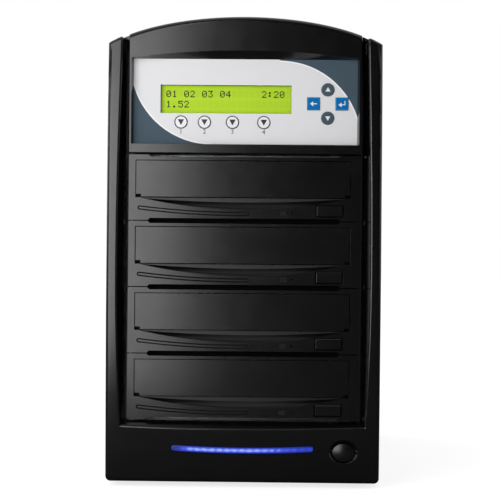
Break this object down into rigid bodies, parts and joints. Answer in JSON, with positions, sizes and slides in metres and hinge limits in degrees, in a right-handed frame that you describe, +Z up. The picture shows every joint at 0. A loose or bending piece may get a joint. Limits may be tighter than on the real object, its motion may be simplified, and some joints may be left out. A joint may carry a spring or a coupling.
{
  "type": "cd dvd duplicator tower",
  "caption": "Free-standing disc duplicator tower: arched black front with control panel and display, tray-loading drives, light strip and power button.",
  "frame": {"origin": "centre of the tower's footprint, on the surface that its feet stand on", "axes": "+Z up, -Y out of the front with the drives and panel, +X to the right of someone facing it"},
  "size_m": [0.172, 0.36, 0.296],
  "materials": {
    "black_paint": "fine textured black powder coat",
    "black_plastic": "satin black moulding, fine texture",
    "black_screw": "black oxide",
    "blue_key": "blue moulding",
    "blue_light": "frosted clear, lit blue from behind",
    "button_plastic": "satin dark grey, domed",
    "cable_sleeve": "red flat cable",
    "chrome_wire": "bright nickel wire",
    "circuit_board": "green solder mask",
    "display": "backlit yellow-green display in a black frame",
    "drive_plastic": "satin black moulding",
    "drive_steel": "bare pressed sheet",
    "fan_plastic": "glossy black moulding",
    "inlet_plastic": "black moulding",
    "overlay_print": "light grey printed film",
    "rocker_plastic": "black moulding",
    "rubber": "matte black rubber",
    "screw_steel": "bright zinc",
    "slate_key": "slate grey moulding",
    "tray_plastic": "matte black moulding",
    "white_key": "white moulding",
    "zinc_steel": "bare zinc-coated sheet"
  },
  "bodies": {
    "tower": {"front_frame": "black_plastic", "light_bar": "blue_light", "front_board": "circuit_board", "control_panel": "black_plastic", "panel_overlay": "overlay_print", "display_module": "display", "key_board": "circuit_board", "chassis": "zinc_steel", "rear_panel": "zinc_steel", "wrap_cover": "black_paint", "rubber_feet": "rubber", "drive_cage": "zinc_steel", "controller_board": "circuit_board", "case_screws": "screw_steel", "machine_screws": "screw_steel", "fan_screws": "black_screw", "case_fan_frame": "fan_plastic", "case_fan_guard": "chrome_wire", "supply_case": "zinc_steel", "supply_fan_frame": "fan_plastic", "mains_inlet": "inlet_plastic", "switch_frame": "inlet_plastic", "drive_1_bezel": "drive_plastic", "drive_1_shell": "drive_steel", "drive_1_mechanism": "tray_plastic", "drive_2_bezel": "drive_plastic", "drive_2_shell": "drive_steel", "drive_2_mechanism": "tray_plastic", "drive_3_bezel": "drive_plastic", "drive_3_shell": "drive_steel", "drive_3_mechanism": "tray_plastic", "drive_4_bezel": "drive_plastic", "drive_4_shell": "drive_steel", "drive_4_mechanism": "tray_plastic", "data_cables": "cable_sleeve", "power_cables": "cable_sleeve"},
    "drive_1_tray_body": {"drive_1_tray": "tray_plastic", "drive_1_door": "drive_plastic"},
    "drive_1_eject": {"drive_1_eject_button": "drive_plastic"},
    "drive_2_tray_body": {"drive_2_tray": "tray_plastic", "drive_2_door": "drive_plastic"},
    "drive_2_eject": {"drive_2_eject_button": "drive_plastic"},
    "drive_3_tray_body": {"drive_3_tray": "tray_plastic", "drive_3_door": "drive_plastic"},
    "drive_3_eject": {"drive_3_eject_button": "drive_plastic"},
    "drive_4_tray_body": {"drive_4_tray": "tray_plastic", "drive_4_door": "drive_plastic"},
    "drive_4_eject": {"drive_4_eject_button": "drive_plastic"},
    "function_key_1_cap": {"function_key_1": "white_key"},
    "function_key_2_cap": {"function_key_2": "white_key"},
    "function_key_3_cap": {"function_key_3": "white_key"},
    "function_key_4_cap": {"function_key_4": "white_key"},
    "up_key_cap": {"up_key": "slate_key"},
    "down_key_cap": {"down_key": "slate_key"},
    "back_key_cap": {"back_key": "blue_key"},
    "enter_key_cap": {"enter_key": "blue_key"},
    "power_button_body": {"power_button": "button_plastic"},
    "rocker": {"rocker_switch": "rocker_plastic"},
    "case_rotor": {"case_fan_rotor": "fan_plastic"},
    "supply_rotor": {"supply_fan_rotor": "fan_plastic"}
  },
  "joints": [
    {"name": "drive_1_tray_slide", "type": "slide", "parent": "tower", "child": "drive_1_tray_body", "axis": [0, -1, 0], "range_m": [0, 0.14]},
    {"name": "drive_1_eject_press", "type": "slide", "parent": "tower", "child": "drive_1_eject", "axis": [0, 1, 0], "range_m": [0, 0.001], "stiffness_N_per_m": 800, "springref_m": -0.001},
    {"name": "drive_2_tray_slide", "type": "slide", "parent": "tower", "child": "drive_2_tray_body", "axis": [0, -1, 0], "range_m": [0, 0.14]},
    {"name": "drive_2_eject_press", "type": "slide", "parent": "tower", "child": "drive_2_eject", "axis": [0, 1, 0], "range_m": [0, 0.001], "stiffness_N_per_m": 800, "springref_m": -0.001},
    {"name": "drive_3_tray_slide", "type": "slide", "parent": "tower", "child": "drive_3_tray_body", "axis": [0, -1, 0], "range_m": [0, 0.14]},
    {"name": "drive_3_eject_press", "type": "slide", "parent": "tower", "child": "drive_3_eject", "axis": [0, 1, 0], "range_m": [0, 0.001], "stiffness_N_per_m": 800, "springref_m": -0.001},
    {"name": "drive_4_tray_slide", "type": "slide", "parent": "tower", "child": "drive_4_tray_body", "axis": [0, -1, 0], "range_m": [0, 0.14]},
    {"name": "drive_4_eject_press", "type": "slide", "parent": "tower", "child": "drive_4_eject", "axis": [0, 1, 0], "range_m": [0, 0.001], "stiffness_N_per_m": 800, "springref_m": -0.001},
    {"name": "function_key_1_press", "type": "slide", "parent": "tower", "child": "function_key_1_cap", "axis": [0, 1, 0], "range_m": [0, 0.0005], "stiffness_N_per_m": 1200, "springref_m": -0.0008},
    {"name": "function_key_2_press", "type": "slide", "parent": "tower", "child": "function_key_2_cap", "axis": [0, 1, 0], "range_m": [0, 0.0005], "stiffness_N_per_m": 1200, "springref_m": -0.0008},
    {"name": "function_key_3_press", "type": "slide", "parent": "tower", "child": "function_key_3_cap", "axis": [0, 1, 0], "range_m": [0, 0.0005], "stiffness_N_per_m": 1200, "springref_m": -0.0008},
    {"name": "function_key_4_press", "type": "slide", "parent": "tower", "child": "function_key_4_cap", "axis": [0, 1, 0], "range_m": [0, 0.0005], "stiffness_N_per_m": 1200, "springref_m": -0.0008},
    {"name": "up_key_press", "type": "slide", "parent": "tower", "child": "up_key_cap", "axis": [0, 1, 0], "range_m": [0, 0.0005], "stiffness_N_per_m": 1200, "springref_m": -0.0008},
    {"name": "down_key_press", "type": "slide", "parent": "tower", "child": "down_key_cap", "axis": [0, 1, 0], "range_m": [0, 0.0005], "stiffness_N_per_m": 1200, "springref_m": -0.0008},
    {"name": "back_key_press", "type": "slide", "parent": "tower", "child": "back_key_cap", "axis": [0, 1, 0], "range_m": [0, 0.0005], "stiffness_N_per_m": 1200, "springref_m": -0.0008},
    {"name": "enter_key_press", "type": "slide", "parent": "tower", "child": "enter_key_cap", "axis": [0, 1, 0], "range_m": [0, 0.0005], "stiffness_N_per_m": 1200, "springref_m": -0.0008},
    {"name": "power_press", "type": "slide", "parent": "tower", "child": "power_button_body", "axis": [0, 1, 0], "range_m": [0, 0.0015], "stiffness_N_per_m": 700, "springref_m": -0.0015},
    {"name": "rocker_tilt", "type": "hinge", "parent": "tower", "child": "rocker", "pos_m": [0.044, 0.1745, 0.028], "axis": [0, 0, 1], "range_deg": [-7, 7]},
    {"name": "case_fan_spin", "type": "hinge", "parent": "tower", "child": "case_rotor", "pos_m": [0, 0.16, 0.15], "axis": [0, 1, 0], "continuous": true},
    {"name": "supply_fan_spin", "type": "hinge", "parent": "tower", "child": "supply_rotor", "pos_m": [-0.026, 0.16, 0.047], "axis": [0, 1, 0], "continuous": true}
  ]
}
